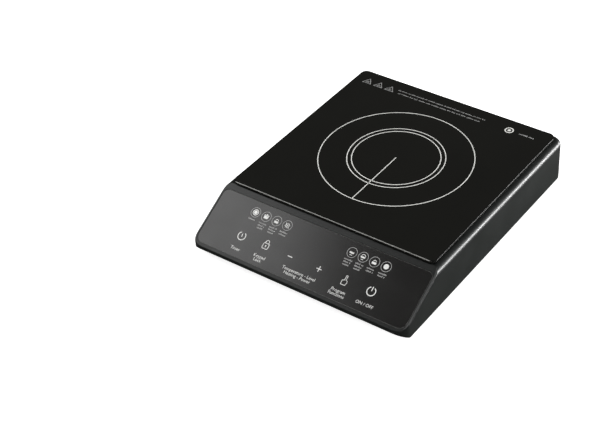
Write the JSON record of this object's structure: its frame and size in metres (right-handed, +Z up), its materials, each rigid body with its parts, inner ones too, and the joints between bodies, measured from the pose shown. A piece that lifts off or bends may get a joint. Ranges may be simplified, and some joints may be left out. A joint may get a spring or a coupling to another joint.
{
  "type": "induction cooktop",
  "caption": "Portable electric induction cooktop: a black glass plate over a low housing with a sloping keypad along its front.",
  "frame": {"origin": "centre of the bounding box at its base, on the surface that the feet stand on", "axes": "+Z up out of the cooking surface, -Y towards the keypad at the front, +X to the right of a person facing the keypad"},
  "size_m": [0.296, 0.3628, 0.0645],
  "materials": {
    "housing_plastic": "satin moulded plastic, fine grain",
    "cooktop_glass": "polished opaque black glass",
    "silicone": "soft silicone",
    "panel_film": "printed gloss film",
    "rubber": "matt rubber",
    "key_plastic": "smooth moulded plastic",
    "board_laminate": "coated board",
    "black_component": "moulded epoxy",
    "film_capacitor": "gloss plastic box",
    "white_plastic": "smooth moulded plastic",
    "lamp_lens": "tinted clear plastic",
    "steel": "zinc-plated steel",
    "aluminium": "extruded aluminium",
    "copper_wire": "enamelled wire",
    "brass": "turned brass",
    "ferrite": "sintered ferrite",
    "mica": "pressed mica sheet",
    "former_plastic": "glass-filled plastic",
    "cable_sleeve": "wire insulation",
    "fan_plastic": "smooth moulded plastic"
  },
  "bodies": {
    "cooker": {"top_housing": "housing_plastic", "base_tray": "housing_plastic", "glass_plate": "cooktop_glass", "glass_seal": "silicone", "panel_overlay": "panel_film", "tact_switches": "black_component", "control_board": "board_laminate", "light_guides": "white_plastic", "indicator_lamps": "lamp_lens", "display_module": "black_component", "control_buzzer": "black_component", "control_processor": "black_component", "board_screws": "steel", "housing_screws": "steel", "coil_former": "former_plastic", "coil_winding": "copper_wire", "ferrite_bars": "ferrite", "mica_sheet": "mica", "sensor_holder": "white_plastic", "sensor_cap": "silicone", "glass_sensor": "black_component", "coil_screws": "steel", "fan_frame": "fan_plastic", "fan_bearing": "brass", "fan_stator": "copper_wire", "fan_screws": "steel", "power_board": "board_laminate", "heatsink": "aluminium", "choke_core": "ferrite", "choke_winding": "copper_wire", "auxiliary_transformer": "black_component", "electrolytic_capacitors": "black_component", "varistor": "film_capacitor", "mains_fuse": "white_plastic", "coil_terminals": "brass", "coil_leads": "cable_sleeve", "ribbon_cable": "cable_sleeve", "wiring_loom": "cable_sleeve", "connector_headers": "white_plastic", "air_duct": "housing_plastic", "cord_gland": "rubber", "terminal_block": "white_plastic", "power_transistor": "black_component", "bridge_rectifier": "black_component", "smoothing_capacitor": "film_capacitor", "resonance_capacitor": "film_capacitor", "interference_capacitor": "film_capacitor", "foot_front_left": "rubber", "foot_front_right": "rubber", "foot_rear_left": "rubber", "foot_rear_right": "rubber"},
    "fan_wheel": {"fan_rotor": "fan_plastic", "fan_magnet": "ferrite", "fan_shaft": "steel"},
    "button_timer": {"key_timer": "key_plastic"},
    "button_lock": {"key_lock": "key_plastic"},
    "button_minus": {"key_minus": "key_plastic"},
    "button_plus": {"key_plus": "key_plastic"},
    "button_mode": {"key_mode": "key_plastic"},
    "button_power": {"key_power": "key_plastic"}
  },
  "joints": [
    {"name": "fan_spin", "type": "hinge", "parent": "cooker", "child": "fan_wheel", "pos_m": [-0.0865, 0.03339, 0.02], "axis": [0, 0, 1], "continuous": true},
    {"name": "press_timer", "type": "slide", "parent": "cooker", "child": "button_timer", "axis": [0, 0.4772, -0.8788], "range_m": [0, 0.0003], "stiffness_N_per_m": 5000},
    {"name": "press_lock", "type": "slide", "parent": "cooker", "child": "button_lock", "axis": [0, 0.4772, -0.8788], "range_m": [0, 0.0003], "stiffness_N_per_m": 5000},
    {"name": "press_minus", "type": "slide", "parent": "cooker", "child": "button_minus", "axis": [0, 0.4772, -0.8788], "range_m": [0, 0.0003], "stiffness_N_per_m": 5000},
    {"name": "press_plus", "type": "slide", "parent": "cooker", "child": "button_plus", "axis": [0, 0.4772, -0.8788], "range_m": [0, 0.0003], "stiffness_N_per_m": 5000},
    {"name": "press_mode", "type": "slide", "parent": "cooker", "child": "button_mode", "axis": [0, 0.4772, -0.8788], "range_m": [0, 0.0003], "stiffness_N_per_m": 5000},
    {"name": "press_power", "type": "slide", "parent": "cooker", "child": "button_power", "axis": [0, 0.4772, -0.8788], "range_m": [0, 0.0003], "stiffness_N_per_m": 5000}
  ]
}
